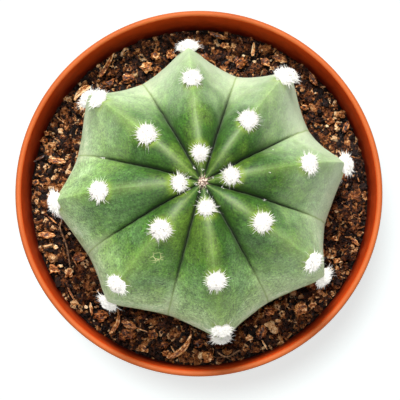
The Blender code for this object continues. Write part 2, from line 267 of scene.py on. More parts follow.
floor_top = FOOT_HEIGHT + FLOOR_THICKNESS
step_bottom = collar_bottom - 2 * COLLAR_STEP
lip_radius = LIP_WIDTH / 2
collar_edge = collar_inner(collar_bottom) + LIP_WIDTH - COLLAR_CORNER
profile = [(0, floor_top)]
profile += arc((pot_inner(floor_top) - 2 * CORNER, floor_top + 2 * CORNER), 2 * CORNER, -90, 0, 6)
profile += [(pot_inner(step_bottom), step_bottom), (collar_inner(collar_bottom), collar_bottom)]
profile += [(collar_inner(rim_top - below), rim_top - below) for below in WALL_RINGS]
profile += arc((rim_radius - lip_radius, rim_top - lip_radius), lip_radius, 180, 0, 12)
profile += arc((collar_edge, collar_bottom + COLLAR_CORNER), COLLAR_CORNER, 0, -90, 4)
profile += arc((body_outer(collar_bottom) + STEP_CORNER, collar_bottom - STEP_CORNER), STEP_CORNER,
               90, 180, 3)
profile += arc((body_outer(CORNER) - CORNER, CORNER), CORNER, -6, -90, 5)
profile += [(FOOT_RADIUS - FOOT_WIDTH, 0), (FOOT_RADIUS - FOOT_WIDTH - FOOT_DRAFT, FOOT_HEIGHT)]
profile += [(DRAIN_CIRCLE + 2 * DRAIN_RADIUS, FOOT_HEIGHT), (0, FOOT_HEIGHT)]
shell = turned(profile)

drills = bmesh.new()
for i in range(DRAINS_ON_CIRCLE + 1):
    out = DRAIN_CIRCLE if i else 0
    turn = tau * i / DRAINS_ON_CIRCLE
    middle = Vector((out * cos(turn), out * sin(turn), FOOT_HEIGHT + FLOOR_THICKNESS / 2))
    bmesh.ops.create_cone(drills, cap_ends=True, segments=24, radius1=DRAIN_RADIUS,
                          radius2=DRAIN_RADIUS, depth=3 * FLOOR_THICKNESS,
                          matrix=Matrix.Translation(middle))

# Moulded polypropylene: coloured right through, with a satin skin and the faint flow marks and
# pits that the mould leaves. Inside, painted shade darkens the wall towards the soil, with a
# blotchy edge, and the inside is painted a brighter, redder orange for the light bouncing in it.
plastic, node, shader, place = new_finish("moulded_terracotta_polypropylene", IOR=1.49,
                                          Specular_IOR_Level=0.12)
flow = node("TexNoise", {"Vector": place, "Scale": 1 / (16 * MM), "Detail": 4})
scuffed = node("ValToRGB", {"Fac": flow}, stops=((0.3, "AE5427"), (0.7, "BA602F")))
height = node("SeparateXYZ", {"Vector": place}).outputs["Z"]
across = node("VectorMath", {0: place, 1: (1, 1, 0)}, operation="MULTIPLY")
radius = node("VectorMath", {0: across}, operation="LENGTH")
within = node("Math", {0: radius, 1: rim_radius - LIP_WIDTH + LIP_MARGIN}, operation="LESS_THAN")
above = node("Math", {0: height, 1: collar_bottom + COLLAR_MARGIN}, operation="GREATER_THAN")
inside = node("Math", {0: within, 1: above}, operation="MULTIPLY")
# Painted light: the inside gets a brighter, redder orange than the outside, for the light that
# bounces round in the pot.
pigment_and_inner_bounce = node("Mix", {"Factor": inside, "A": scuffed, "B": "DD4C16"}, data_type="RGBA")
# Painted shade: darker down the inner wall towards the soil, with a blotchy edge.
damp = node("MapRange", {"Value": height, "From Min": rim_top - SOIL_BELOW_RIM,
                         "From Max": rim_top - 1.5 * MM, "To Min": 1, "To Max": 0})
shade_edge_noise = node("TexNoise", {"Vector": place, "Scale": 1 / (5 * MM), "Detail": 7, "Roughness": 0.65})
edge = node("MapRange", {"Value": shade_edge_noise, "From Min": 0.3, "From Max": 0.7, "To Min": -0.22,
                         "To Max": 0.22})
painted_wall_shade = node("Math", {0: damp, 1: edge}, operation="ADD")
wall_shade_share = node("ValToRGB", {"Fac": painted_wall_shade}, stops=((0.1, 0), (0.55, 0.4), (1, 0.95)))
wall_shade_inside = node("Math", {0: wall_shade_share, 1: inside}, operation="MULTIPLY")
colour = node("Mix", {"Factor": wall_shade_inside, "A": pigment_and_inner_bounce, "B": "661401"}, data_type="RGBA")
pits = node("TexNoise", {"Vector": place, "Scale": 1 / (0.6 * MM), "Detail": 3})
gloss = node("MapRange", {"Value": pits, "To Min": 0.45, "To Max": 0.62})
relief = node("Bump", {"Height": pits, "Strength": 0.15, "Distance": 0.05 * MM})
feed(shader, Base_Color=colour, Roughness=gloss, Normal=relief)

pot = piece_from(shell, "pot_shell", plastic, smooth_deg=40)
drill = piece_from(drills, "drain_drill", plastic)
holes = pot.modifiers.new("drain_holes", "BOOLEAN")
holes.operation = "DIFFERENCE"
holes.solver = "EXACT"
holes.object = drill
drilled = bpy.data.meshes.new_from_object(pot.evaluated_get(bpy.context.evaluated_depsgraph_get()))
pot.modifiers.clear()
pot.data = drilled
bpy.data.objects.remove(drill)
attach(pot, "root")
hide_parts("pot")


# ---- Soil bed: the mass of damp peat and bark fines under the loose grains. It fills the pot to
# its floor, and its top lies a little below the finished surface.

GAP = 0.3 * MM
SOIL_TOP = rim_top - SOIL_BELOW_RIM
SOIL_RELIEF = 0.9 * MM
SOIL_LUMP = 9 * MM
BED_DROP = 2.2 * MM
BED_CRUMB = 2.2 * MM
BED_CRUMB_HEIGHT = 0.5 * MM
BED_RINGS = 32
BED_INNER_RING = 25 * MM


def flecked_finish(name, size, detail, stops, bump=None, **constants):
    """A finish coloured by one noise of a size in mm; bump is its strength and height in mm."""
    material, node, shader, place = new_finish(name, **constants)
    fleck = node("TexNoise", {"Vector": place, "Scale": 1 / (size * MM), "Detail": detail})
    feed(shader, Base_Color=node("ValToRGB", {"Fac": fleck}, stops=stops))
    if bump:
        relief = {"Height": fleck, "Strength": bump[0], "Distance": bump[1] * MM}
        feed(shader, Normal=node("Bump", relief))
    return material


def soil_height(x, y):
    """Height of the finished soil with its low lumps."""
    return SOIL_TOP + SOIL_RELIEF * noise(Vector((x, y, 0)) / SOIL_LUMP)


bed_bottom = floor_top + GAP
bed_edge = pot_inner(SOIL_TOP) - GAP
ring_step = (bed_edge - BED_INNER_RING) / BED_RINGS
bed_profile = [(0, SOIL_TOP - BED_DROP)]
bed_profile += [(BED_INNER_RING + i * ring_step, SOIL_TOP - BED_DROP) for i in range(BED_RINGS + 1)]
bed_profile += [(pot_inner(z) - GAP, z) for z in (collar_bottom, step_bottom, floor_top + 2 * CORNER)]
bed_profile += [(pot_inner(bed_bottom) - GAP - 2 * CORNER, bed_bottom), (0, bed_bottom)]
bed = turned(bed_profile)
for v in bed.verts:
    if v.co.z > SOIL_TOP - BED_DROP - 0.1 * MM:
        x, y = v.co.xy
        crumb = fractal(Vector((x, y, 0)) / BED_CRUMB, 0.6, 2, 3)
        v.co.z = soil_height(x, y) - BED_DROP + BED_CRUMB_HEIGHT * crumb

# Damp peat: matt and dark brown, with brown fibres showing through, darkened to nearly black as
# painted shade for the gaps between the grains.
peat_and_gap_shade = flecked_finish("damp_peat", 0.8, 6, ((0.35, "040201"), (0.55, "0D0603"), (0.75, "26150B")),
                      bump=(0.7, 0.3), Roughness=0.85, Specular_IOR_Level=0.1)
soil_bed = piece_from(bed, "soil_bed", peat_and_gap_shade, smooth_deg=60)
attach(soil_bed, "root")
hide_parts("soil")


# ---- Stem: one ribbed globe of green water-storing tissue under a waxy skin. Eight ribs run
# from the sunken crown into the soil: full round lobes near the crown, hollow-sided keels below.

STEM_CENTRE = Vector((1, -1.1, 97.5)) * MM
STEM_LEAN_DEG = (-0.45, 1.1, 7)
RIBS = 8
# Turns from an even star, of each rib's crest and of the furrow after it.
TURN_DEG = (3.3, 0.4, 1.5, -1.2, -1.4, -0.5, -1.8, -0.4, -2, -0.8, -2.5, 0.1, 0.8, 1.5, 3.2, 1)
RIB_REACH = (0.99, 1.004, 0.984, 1.006, 1.006, 0.972, 0.99, 1)  # of the common crest radius
FURROW_SHARE = (1.22, 1.3, 1.17, 0.97, 0.87, 0.97, 1, 1.04)  # of the common furrow depth
CREST_RADIUS = 41.3 * MM
CROWN_HEIGHT = 35.5 * MM
CROWN_POWER = 2.7
ROOT_DEPTH = 40 * MM
ROOT_POWER = 1.8
DIMPLE_DEPTH = 4.5 * MM
DIMPLE_RADIUS = 6.5 * MM
# Depth of the furrows, by degrees from the crown.
FURROW_DEPTH = ((0, 0), (20, 5 * MM), (42, 8.5 * MM), (90, 5.2 * MM), (118, 2.5 * MM), (180, 0))
ROUND_LOBE_POWER = 0.55
FLANK_POWER = 1.7
EDGE_SOFTNESS = 0.32
LOBE_END, FLANK_START = 14, 70  # degrees from the crown: round lobes above, keels below
# The narrow fold at the bottom of each furrow: its depth in mm, by degrees from the crown.
FOLD = ((0, 0), (10, 0.9), (42, 0.75), (56, 0.25), (66, 0.05), (180, 0))
FOLD_HALF_WIDTH = 0.32 * MM
FOLD_SHADE_HALF_WIDTH = 0.26 * MM
FOLD_WANDER = 0.12 * MM
SWELL, SWELL_RADIUS = 0.4 * MM, 4.6 * MM  # of the rib round each areole
SEAT_DIP, SEAT_RADIUS = 0.9 * MM, 2.4 * MM  # of the rib under its wool
HALO_RADIUS, HALO_WIDTH = 2.7 * MM, 0.8 * MM  # of the yellowish ring round an areole
UNEVEN_MM = ((0.22, 9), (0.1, 3), (0.03, 1.1))  # heights and widths of the skin's dents
STEPS_PER_RIB = 38
STEM_RINGS = 176
CROWDING = 0.78  # how far the mesh crowds to crests and furrows
NUDGE = 0.017  # radians to either side, to find a crest's slope
FIRST_AREOLE_MM = (8.4, 21, 8.1, 19.9, 6.8, 17.7, 7.9, 19.9)  # from the crown, along each crest
AREOLE_STEP_MM = (22.2, 20.5, 21.8, 21.1, 22, 22.2, 20, 20.8)  # from each to the next one down
AREOLES_ON_RIB = (4, 3)  # on every other rib
# What the skin's colours follow: each runs from 0 to 1.
SKIN_MARKS = ("rib_side", "from_crown", "near_areole", "in_fold")
SCAR = Vector((-10.6, -20.5, 127.5)) * MM
LIT_SIDE = (0.5, 0.85, 0)  # the way the back softbox stands, turned a little east; that side is painted paler

stem_place = Matrix.Translation(STEM_CENTRE)
for axis, lean in zip("ZYX", reversed(STEM_LEAN_DEG)):
    stem_place @= Matrix.Rotation(radians(lean), 4, axis)


def between(points, x):
    """The value at x on a smooth step curve through (x, value) points."""
    for (x0, y0), (x1, y1) in zip(points, points[1:]):
        if x <= x1:
            t = (x - x0) / (x1 - x0)
            return y0 + (y1 - y0) * t * t * (3 - 2 * t)
    return points[-1][1]


def heading(tilt, turn):
    """The direction at a tilt from +Z and a turn from +X."""
    return Vector((sin(tilt) * cos(turn), sin(tilt) * sin(turn), cos(tilt)))


def crest_distance(polar):
    """Distance from the stem's centre to a rib's crest, at an angle from the crown."""
    across = sin(polar) / CREST_RADIUS
    upper = cos(polar) >= 0
    height, power = (CROWN_HEIGHT, CROWN_POWER) if upper else (ROOT_DEPTH, ROOT_POWER)
    along = abs(cos(polar)) / height
    distance = (across ** power + along ** power) ** (-1 / power)
    if not upper:
        return distance
    return distance - DIMPLE_DEPTH * exp(-(distance * sin(polar) / DIMPLE_RADIUS) ** 2)


def rib_height(side, polar):
    """Height of a rib's section, 1 on the crest and 0 in the furrow; side goes from 0 to 1."""
    lobe = max(1 - side ** 2, 0) ** ROUND_LOBE_POWER
    soft = hypot(side, EDGE_SOFTNESS) - EDGE_SOFTNESS
    soft /= hypot(1, EDGE_SOFTNESS) - EDGE_SOFTNESS
    hollow = 1 - max(1 - (1 - soft) ** FLANK_POWER, 0) ** (1 / FLANK_POWER)
    mix = between(((0, 0), (LOBE_END, 0), (FLANK_START, 1), (180, 1)), degrees(polar))
    return lobe + (hollow - lobe) * mix


def round_the_star(values, star_turn):
    """The value at a place on an even star, between values that are evenly spaced round it."""
    place = star_turn / tau * len(values)
    step = floor(place)
    here, after = values[step % len(values)], values[(step + 1) % len(values)]
    return here + (after - here) * (place - step)


def star_shift(star_turn):
    """How far the ribs are turned from an even star at this place, in radians."""
    return radians(round_the_star(TURN_DEG, star_turn))


def stem_point(star_turn, polar):
    """A point of the smooth skin, from the stem's centre."""
    place = star_turn / tau * RIBS
    side = min(2 * abs(place - round(place)), 1)
    depth = between(FURROW_DEPTH, degrees(polar)) * FURROW_SHARE[floor(place) % RIBS]
    distance = crest_distance(polar) - depth * (1 - rib_height(side, polar))
    distance *= 1 + (round_the_star(RIB_REACH, star_turn) - 1) * sin(polar) ** 2
    return distance * heading(polar, star_turn + star_shift(star_turn))


def crest_polar_at(length):
    """The angle from the crown of the place that lies this far along a crest."""
    step = radians(0.25)
    polar = step
    here = Vector((0, crest_distance(0)))
    while length > 0:
        distance = crest_distance(polar)
        there = Vector((distance * sin(polar), distance * cos(polar)))
        length -= (there - here).length
        here = there
        polar += step
    return polar - step


areoles = []  # (rib, tier, mm from the crown, seat on the crest, outward direction)
for rib in range(RIBS):
    turn = tau * rib / RIBS
    for tier in range(AREOLES_ON_RIB[rib % 2]):
        out = FIRST_AREOLE_MM[rib] + tier * AREOLE_STEP_MM[rib]
        polar = crest_polar_at(out * MM)
        seat = stem_point(turn, polar)
        rise = stem_point(turn, polar + NUDGE) - stem_point(turn, polar - NUDGE)
        outward = rise.cross(Vector((0, 0, 1)).cross(seat)).normalized()
        areoles.append((rib, tier, out, seat, outward))

globe = bmesh.new()
bmesh.ops.create_uvsphere(globe, u_segments=RIBS * STEPS_PER_RIB, v_segments=STEM_RINGS, radius=1)
rib_side, from_crown, near_areole, in_fold = (
    globe.verts.layers.float.new(name) for name in SKIN_MARKS)
skin_map = globe.verts.layers.float_vector.new("skin_map")  # round and down the stem, in metres
for v in globe.verts:
    polar = acos(max(-1, min(1, v.co.z)))
    place = atan2(v.co.y, v.co.x) % tau / tau * RIBS
    half = floor(2 * place) / 2
    part = 2 * (place - half)
    place = half + (part - CROWDING * sin(tau * part) / tau) / 2
    side = min(2 * abs(place - round(place)), 1)
    skin = stem_point(place / RIBS * tau, polar)
    to_furrow = (1 - side) * skin.xy.length * pi / RIBS
    fold = MM * between(FOLD, degrees(polar)) * exp(-(to_furrow / FOLD_HALF_WIDTH) ** 2)
    wander = side ** 4 * FOLD_WANDER * noise((7 * floor(place), 14 * polar, 0))
    round_the_stem = Vector((-skin.y, skin.x, 0)).normalized()
    gap = min((skin - areole[3]).length for areole in areoles)
    swell = SWELL * exp(-(gap / SWELL_RADIUS) ** 2)
    seat_dip = SEAT_DIP * exp(-(gap / SEAT_RADIUS) ** 2)
    uneven = sum(high * MM * noise(skin / (wide * MM)) for high, wide in UNEVEN_MM)
    v[rib_side] = side
    v[from_crown] = degrees(polar) / 180
    v[near_areole] = exp(-((gap - HALO_RADIUS) / HALO_WIDTH) ** 2)
    v[in_fold] = exp(-(to_furrow / FOLD_SHADE_HALF_WIDTH) ** 2)
    v[skin_map] = (place / RIBS * tau * CREST_RADIUS, polar * CREST_RADIUS, 0)
    v.co = skin + round_the_stem * wander
    v.co += skin.normalized() * (swell - seat_dip + uneven - fold)
bmesh.ops.transform(globe, matrix=stem_place, verts=globe.verts)

# Waxy skin: deep green where it is young, at the crown, and paler further down, palest near the
# outline, where a painted sheen of the wax seen edge-on lies on the paler old skin. A pale film
# is painted over the outer flanks on the side towards the back softbox: painted light. Painted
# shade darkens the furrows near the crown and the folds along their bottoms, and a yellower tint
# with a painted highlight runs along the crests. It is mottled by its pores, yellowish round the
# areoles, corky beside old folds, and scratched in one place.
skin_finish, node, shader, place = new_finish(
    "waxy_cactus_skin", Sheen_Weight=0.07, Sheen_Roughness=0.3, Sheen_Tint="DCEBC8",
    Subsurface_Weight=0.06, Subsurface_Scale=2 * MM, Subsurface_Radius=(0.6, 1, 0.3),
    Specular_IOR_Level=0.6)
side, down, seat_ring, fold = (
    node("Attribute", attribute_name=name).outputs["Fac"] for name in SKIN_MARKS)
on_skin = node("Attribute", attribute_name="skin_map").outputs["Vector"]

# Each noise: its size in mm, detail, roughness and distortion. Pores and wax specks are drawn
# coarser than they are, so that they show.
cloud, hue, pores, blotches, bloom = (
    node("TexNoise", {"Vector": place, "Scale": 1 / (size * MM), "Detail": detail,
                      "Roughness": roughness, "Distortion": distortion})
    for size, detail, roughness, distortion in (
        (8, 6, 0.6, 0), (11, 4, 0.5, 0.4), (0.6, 3, 0.75, 0), (3.2, 5, 0.65, 0.5), (0.42, 3, 0.7, 0)))
fibre_map = node("VectorMath", {0: on_skin, 1: (1 / (1.6 * MM), 1 / (4.5 * MM), 0)},
                 operation="MULTIPLY")
fibre = node("TexNoise", {"Vector": fibre_map, "Scale": 1, "Detail": 4})
texture = node("Mix", {"Factor": 0.25, "A": pores, "B": fibre})
drift = node("MapRange", {"Value": cloud, "From Min": 0.3, "From Max": 0.7, "To Min": -0.045,
                          "To Max": 0.045})
age = node("Math", {0: down, 1: drift}, operation="ADD")
# Painted light: a pale film over the outer flanks, on the side towards the back softbox only.
toward_lit_side = node("VectorMath", {0: place, 1: LIT_SIDE}, operation="DOT_PRODUCT")
lit_side_share = node("MapRange", {"Value": toward_lit_side.outputs["Value"], "From Min": -18 * MM,
                          "From Max": 26 * MM, "To Min": 0, "To Max": 0.8})
to_scar = node("VectorMath", {0: place, 1: SCAR}, operation="DISTANCE").outputs["Value"]
near_scar = node("MapRange", {"Value": to_scar, "From Min": 0.8 * MM, "From Max": 2.3 * MM,
                              "To Min": 0.9, "To Max": 0})
scratches = node("TexVoronoi", {"Vector": place, "Scale": 1 / (1.4 * MM)},
                 feature="DISTANCE_TO_EDGE")
# Ramps: what each follows and its stops, as greens or as shares from 0 to 1.
ramps = {name: node("ValToRGB", {"Fac": by}, stops=stops) for name, by, stops in (
    # The greens: deep at the crown, palest near the outline, where paler old skin carries a painted
    # sheen of the wax seen edge-on.
    ("green", age, ((0, "274806"), (0.11, "2A4F08"), (0.16, "2F570D"), (0.21, "406B1B"),
                    (0.27, "5F8739"), (0.33, "8BAE64"), (0.4, "B8D198"), (0.45, "D2E4B8"),
                    (0.49, "C6DAA8"), (0.56, "9DBA78"), (0.76, "7C9455"))),
    # Painted shade in the folds: nearly black green near the crown, turning to a pale green line
    # lower down.
    ("crease green", down, ((0.27, "0F2604"), (0.38, "90A860"))),
    ("olive patches", hue, ((0.36, 0.32), (0.5, 0))),
    ("grey patches", hue, ((0.5, 0), (0.64, 0.2))),
    ("weathered", down, ((0.12, 0.1), (0.34, 1))),
    ("speckle", texture, ((0.35, 0.08), (0.65, 0.92))),
    ("blotch", blotches, ((0.34, 0.25), (0.66, 0.75))),
    ("wax film", age, ((0.17, 0), (0.38, 1), (0.46, 1), (0.56, 0.35))),
    ("wax specks", bloom, ((0.54, 0), (0.7, 0.4))),
    # Crests: a yellower tint with a painted highlight along them.
    ("crest", side, ((0, 0.24), (0.3, 0))),
    # Painted shade: darker green towards the furrows, near the crown only.
    ("furrow", side, ((0.75, 0), (0.95, 0.3), (1, 0.85))),
    ("young", down, ((0.16, 1), (0.36, 0))),
    ("beside the fold", side, ((0.82, 0), (0.98, 0.5))),
    ("old", down, ((0.27, 0), (0.37, 1))),
    ("scratch", scratches, ((0.03, 1), (0.09, 0))))}
colour = ramps["green"]
for share, scale, over, blend in (  # share times scale of each lies over the ones before it
        ("olive patches", 1, "74902F", "MIX"), ("grey patches", "weathered", "93B293", "MIX"),
        (0.85, 1, "speckle", "OVERLAY"), (0.5, 1, "blotch", "OVERLAY"),
        ("wax film", lit_side_share, "C2CEAE", "MIX"), ("crest", 1, "A3BD62", "MIX"),
        ("furrow", "young", "224708", "MIX"), ("beside the fold", "old", "C8CFA8", "MIX"),
        (fold, 0.85, "crease green", "MIX"), (seat_ring, 0.55, "8CA32F", "MIX"),
        ("wax specks", "weathered", "CDDDB4", "MIX"), ("scratch", near_scar, "E2DDA0", "MIX")):
    share, scale, over = (ramps.get(value, value) for value in (share, scale, over))
    factor = node("Math", {0: share, 1: scale}, operation="MULTIPLY")
    colour = node("Mix", {"Factor": factor, "A": colour, "B": over}, data_type="RGBA",
                  blend_type=blend)
satin = node("MapRange", {"Value": pores, "To Min": 0.48, "To Max": 0.66})
gloss = node("Math", {0: satin, 1: fold}, operation="MAXIMUM")
relief = node("Bump", {"Height": texture, "Strength": 0.35, "Distance": 0.12 * MM})
feed(shader, Base_Color=colour, Roughness=gloss, Normal=relief)
stem = piece_from(globe, "stem_globe", skin_finish, smooth_deg=180)
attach(stem, "root")
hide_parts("stem")


# ---- Areoles: the woolly pads that spines and flowers grow from. Each is a cushion of dense white
# wool that ends in a star of coarse tapered hairs, with a few finer ones and dark spine tips.

PAD_RADIUS = 2.35 * MM
PAD_HEIGHT = 1.75 * MM
# Growth of the wool, by distance from the crown in mm: it is fullest where the stem is widest.
PAD_GROWTH = ((0, 0.75), (8, 0.85), (19, 1.1), (42, 1.06), (54, 1.18), (80, 1.1))
PAD_HAIRS = (230, 46, 12, 3)  # wool, star, fine hairs, spine tips
HAIR_KINDS = (  # of the first three: tilt, stray, length, thickness
    ((0, 100), 0.5, (0.3, 0.55), 0.075),
    ((45, 100), 0.35, (0.6, 1.05), 0.055),
    ((40, 100), 0.45, (0.9, 1.5), 0.026),
)
CUSHION = 0.92  # of the pad's radius, under the wool
CUSHION_LUMPS = 0.16
UPRIGHT_SHORTENING = 0.45  # of the hairs on top of a pad
UNDER_BOX = 0.05 * MM  # the wool's top stays this far inside the plant's height

# Plant wool: dead hollow hairs full of air, which scatter light from hair to hair. A faint glow
# paints that light in, so a pad looks white on its shaded side too.
wool = flecked_finish("glowing_white_areole_wool", 0.5, 3, ((0.3, "B9B4AC"), (0.55, "D2D0CB")),
                      Roughness=0.9, Sheen_Weight=0.3, Specular_IOR_Level=0.2,
                      Emission_Strength=0.26, Emission_Color="FFFDF8")

# Spine tips: horn-hard, dark brown and a little shiny.
horn = flecked_finish("dark_spine_horn", 0.3, 2, ((0.3, "2A1C16"), (0.7, "6A5040")), Roughness=0.45)


def pointing(direction, start):
    """A placement whose +Z runs from start along a direction."""
    return Matrix.Translation(start) @ direction.to_track_quat("Z", "Y").to_matrix().to_4x4()


def add_hair(bm, start, direction, length, thickness, material=0):
    """One tapered hair with a three-cornered section."""
    middle = pointing(direction, start + direction * (length / 2))
    hair = bmesh.ops.create_cone(bm, cap_ends=True, segments=3, radius1=thickness, radius2=0,
                                 depth=length, matrix=middle)["verts"]
    for face in {f for v in hair for f in v.link_faces}:
        face.material_index = material


def tilted(rng, lowest, highest):
    """A random direction between two tilts from +Z, in degrees."""
    return heading(radians(rng.uniform(lowest, highest)), rng.uniform(0, tau))


def wool_pad(rng, radius, height, hair_length, counts):
    """A pad that grows along +Z from its seat; counts are of its hair kinds, then spine tips."""
    bm = bmesh.new()
    bmesh.ops.create_uvsphere(bm, u_segments=24, v_segments=14, radius=CUSHION)
    shift = Vector((rng.uniform(0, 20), 0, 0))
    for v in bm.verts:
        v.co *= 1 + CUSHION_LUMPS * noise(v.co * 2.2 + shift)
    size = Matrix.Diagonal((radius, radius, height))
    bmesh.ops.transform(bm, matrix=size.to_4x4(), verts=bm.verts)
    for count, (tilt, stray, lengths, thickness) in zip(counts, HAIR_KINDS):
        for _ in range(count):
            direction = tilted(rng, *tilt)
            lean = (direction + stray * tilted(rng, 0, 180)).normalized()
            upright = 1 - UPRIGHT_SHORTENING * max(lean.z, 0)
            add_hair(bm, size @ direction * 0.85, lean,
                     hair_length * rng.uniform(*lengths) * upright,
                     hair_length * thickness * rng.uniform(0.8, 1.2))
    for _ in range(counts[-1]):
        direction = tilted(rng, 5, 60)
        add_hair(bm, size @ direction * 0.8, direction, 0.3 * radius, 0.09 * radius, material=1)
    return bm


for rib, tier, out, seat, outward in areoles:
    rng = random.Random(100 * rib + tier)
    size = between(PAD_GROWTH, out) * rng.uniform(0.95, 1.05)
    pad = wool_pad(rng, PAD_RADIUS * size, PAD_HEIGHT * size, PAD_RADIUS, PAD_HAIRS)
    bmesh.ops.transform(pad, matrix=stem_place @ pointing(outward, seat), verts=pad.verts)
    for v in pad.verts:
        v.co.z = min(v.co.z, cad_box[1][2] - UNDER_BOX)
    piece = piece_from(pad, f"wool_{rib + 1}_{tier + 1}", wool, horn)
    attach(piece, "root")
    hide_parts(f"areole_{rib + 1}_{tier + 1}")


# ---- Crown tuft: the newest wool, in the sunken middle of the crown, where the ribs grow new
# areoles. It is short, pinkish beige and tangled with dark bud scales.

CROWN_TUFT_RADIUS = 1.45 * MM
CROWN_TUFT_HEIGHT = 0.7 * MM
CROWN_HAIR = 2.3 * MM
CROWN_HAIRS = (30, 34, 18, 14)  # wool, star, fine hairs, dark tips

# Young wool: the same hollow hairs, still tinged by sap.
young_wool = flecked_finish("young_crown_wool", 0.6, 3,
                            ((0.38, "4E382C"), (0.5, "B39A88"), (0.62, "E6DACB")), Roughness=0.9)
rng = random.Random(7)
crown = wool_pad(rng, CROWN_TUFT_RADIUS, CROWN_TUFT_HEIGHT, CROWN_HAIR, CROWN_HAIRS)
bmesh.ops.transform(crown, matrix=stem_place @ Matrix.Translation(stem_point(0, 0)),
                    verts=crown.verts)
crown_wool = piece_from(crown, "crown_wool", young_wool, horn)
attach(crown_wool, "root")
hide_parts("crown_tuft")


# ---- Caught wool: a few loose hairs that have blown off the areoles and stick in the furrows and
# round the crown. They are the same white wool.

LOOSE_HAIR_RADIUS = 0.1 * MM
CAUGHT = (  # ribs from the first, angle from the crown, hairs, mm long
    (3.5, 53, 5, 1.1), (7.45, 30, 4, 0.7), (7.93, 28, 2, 0.5), (0.4, 38, 4, 0.6), (7.4, 9.5, 3, 0.6),
    (2.6, 7.5, 5, 0.8), (0.3, 5, 4, 0.8), (1.9, 5.5, 4, 0.7), (3.4, 7, 4, 0.7), (4.5, 7, 4, 0.8),
    (5.4, 5, 4, 0.7), (6.4, 5, 4, 0.7), (4.4, 3.8, 4, 0.7), (2.2, 9.5, 3, 0.6), (5.8, 7.5, 3, 0.6),
)
rng = random.Random(11)
caught = bmesh.new()
for place, down, count, length in CAUGHT:
    seat = stem_place @ stem_point(place / RIBS * tau, radians(down))
    for _ in range(count):
        add_hair(caught, seat + Vector((rng.gauss(0, 0.15), rng.gauss(0, 0.15), 0.2)) * MM,
                 tilted(rng, 30, 95), length * MM * rng.uniform(0.6, 1.3), LOOSE_HAIR_RADIUS)
caught_wool = piece_from(caught, "caught_wool", wool)
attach(caught_wool, "root")


# ---- Large bark: the fourteen biggest bits on the soil. They are split, layered and fibrous pine
# bark and wood, each lying loose where it fell when the pot was filled.

BARK_BITS = (  # name, kind, length, width, thickness, turn, bend, tone; in mm and degrees
    ("bark_strip_long", "strip", 9.7, 1.7, 1, 44, 2.6, 0.74),
    ("bark_sliver_north", "strip", 8.2, 1.2, 0.9, 60, 0.3, 0.66),
    ("bark_strip_curved", "strip", 6.3, 1.7, 0.9, 222, 1.2, 0.84),
    ("bark_chip_golden", "husk", 5.4, 2, 0.9, -4, -0.4, 0.68),
    ("bark_husk_west", "husk", 5.3, 2, 1.1, -3, 0.2, 0.68),
    ("bark_chip_round", "lump", 3.5, 3.1, 1.3, 20, 0.1, 0.52),
    ("bark_strip_south", "strip", 7.8, 1.2, 0.9, 72, 2.1, 0.72),
    ("bark_chunk_dark", "lump", 4.6, 3.2, 2, 15, 0.1, 0.48),
    ("bark_needle", "strip", 4.1, 1, 0.8, 85, 0.1, 0.93),
    ("bark_flake_north", "lump", 3.9, 2.3, 0.9, -22, 0.3, 0.66),
    ("bark_husk_northeast", "husk", 4.7, 2, 1.1, -60, 0.5, 0.56),
    ("bark_husk_east", "husk", 3.8, 1.9, 1.1, 65, 0.4, 0.5),
    ("bark_chunk_orange", "lump", 3.9, 3.3, 1.6, 35, 0.1, 0.66),
    ("bark_chip_south", "lump", 3.8, 3, 1.2, 70, 0.2, 0.5),
)

# Pine bark and wood: damp, from nearly black to red-brown, and ochre on fresh breaks. Its layers
# and fibres run along each bit, and wet spots shine.
bark_finish, node, shader, place = new_finish("damp_pine_bark", Specular_IOR_Level=0.35)
tone = node("Attribute", attribute_name="tone").outputs["Fac"]
along_bit = node("Attribute", attribute_name="bit_map").outputs["Vector"]
grain_map = node("VectorMath", {0: along_bit, 1: (1 / (2.4 * MM), 1 / (0.35 * MM), 1 / (0.35 * MM))},
                 operation="MULTIPLY")
grain = node("TexNoise", {"Vector": grain_map, "Scale": 1, "Detail": 5})
layer = node("TexNoise", {"Vector": place, "Scale": 1 / (0.8 * MM), "Detail": 6, "Roughness": 0.65})
both = node("Math", {0: grain, 1: layer}, operation="ADD")
spread = node("MapRange", {"Value": both, "From Min": 0.78, "From Max": 1.22, "To Min": -0.42,
                           "To Max": 0.36})
tone_here = node("Math", {0: tone, 1: spread}, operation="ADD")
colour = node("ValToRGB", {"Fac": tone_here}, stops=(
    (0, "050201"), (0.22, "1C0C05"), (0.42, "52270F"), (0.6, "914F20"), (0.76, "C27D3E"),
    (0.9, "E0AF70"), (1, "F2D8AC")))
gloss = node("MapRange", {"Value": layer, "From Min": 0.38, "From Max": 0.6, "To Min": 0.16,
                          "To Max": 0.75})
relief = node("Bump", {"Height": both, "Strength": 0.9, "Distance": 0.22 * MM})
feed(shader, Base_Color=colour, Roughness=gloss, Normal=relief)


def mark_bark(bm, tone):
    """Gives a bit of bark its tone, and its own length, width and thickness as coordinates."""
    tone_layer = bm.verts.layers.float.new("tone")
    map_layer = bm.verts.layers.float_vector.new("bit_map")
    for v in bm.verts:
        v[tone_layer] = tone
        v[map_layer] = v.co


def box_middle(bm):
    """The middle of a mesh's box."""
    return Vector([(min(v.co[i] for v in bm.verts) + max(v.co[i] for v in bm.verts)) / 2
                   for i in range(3)])


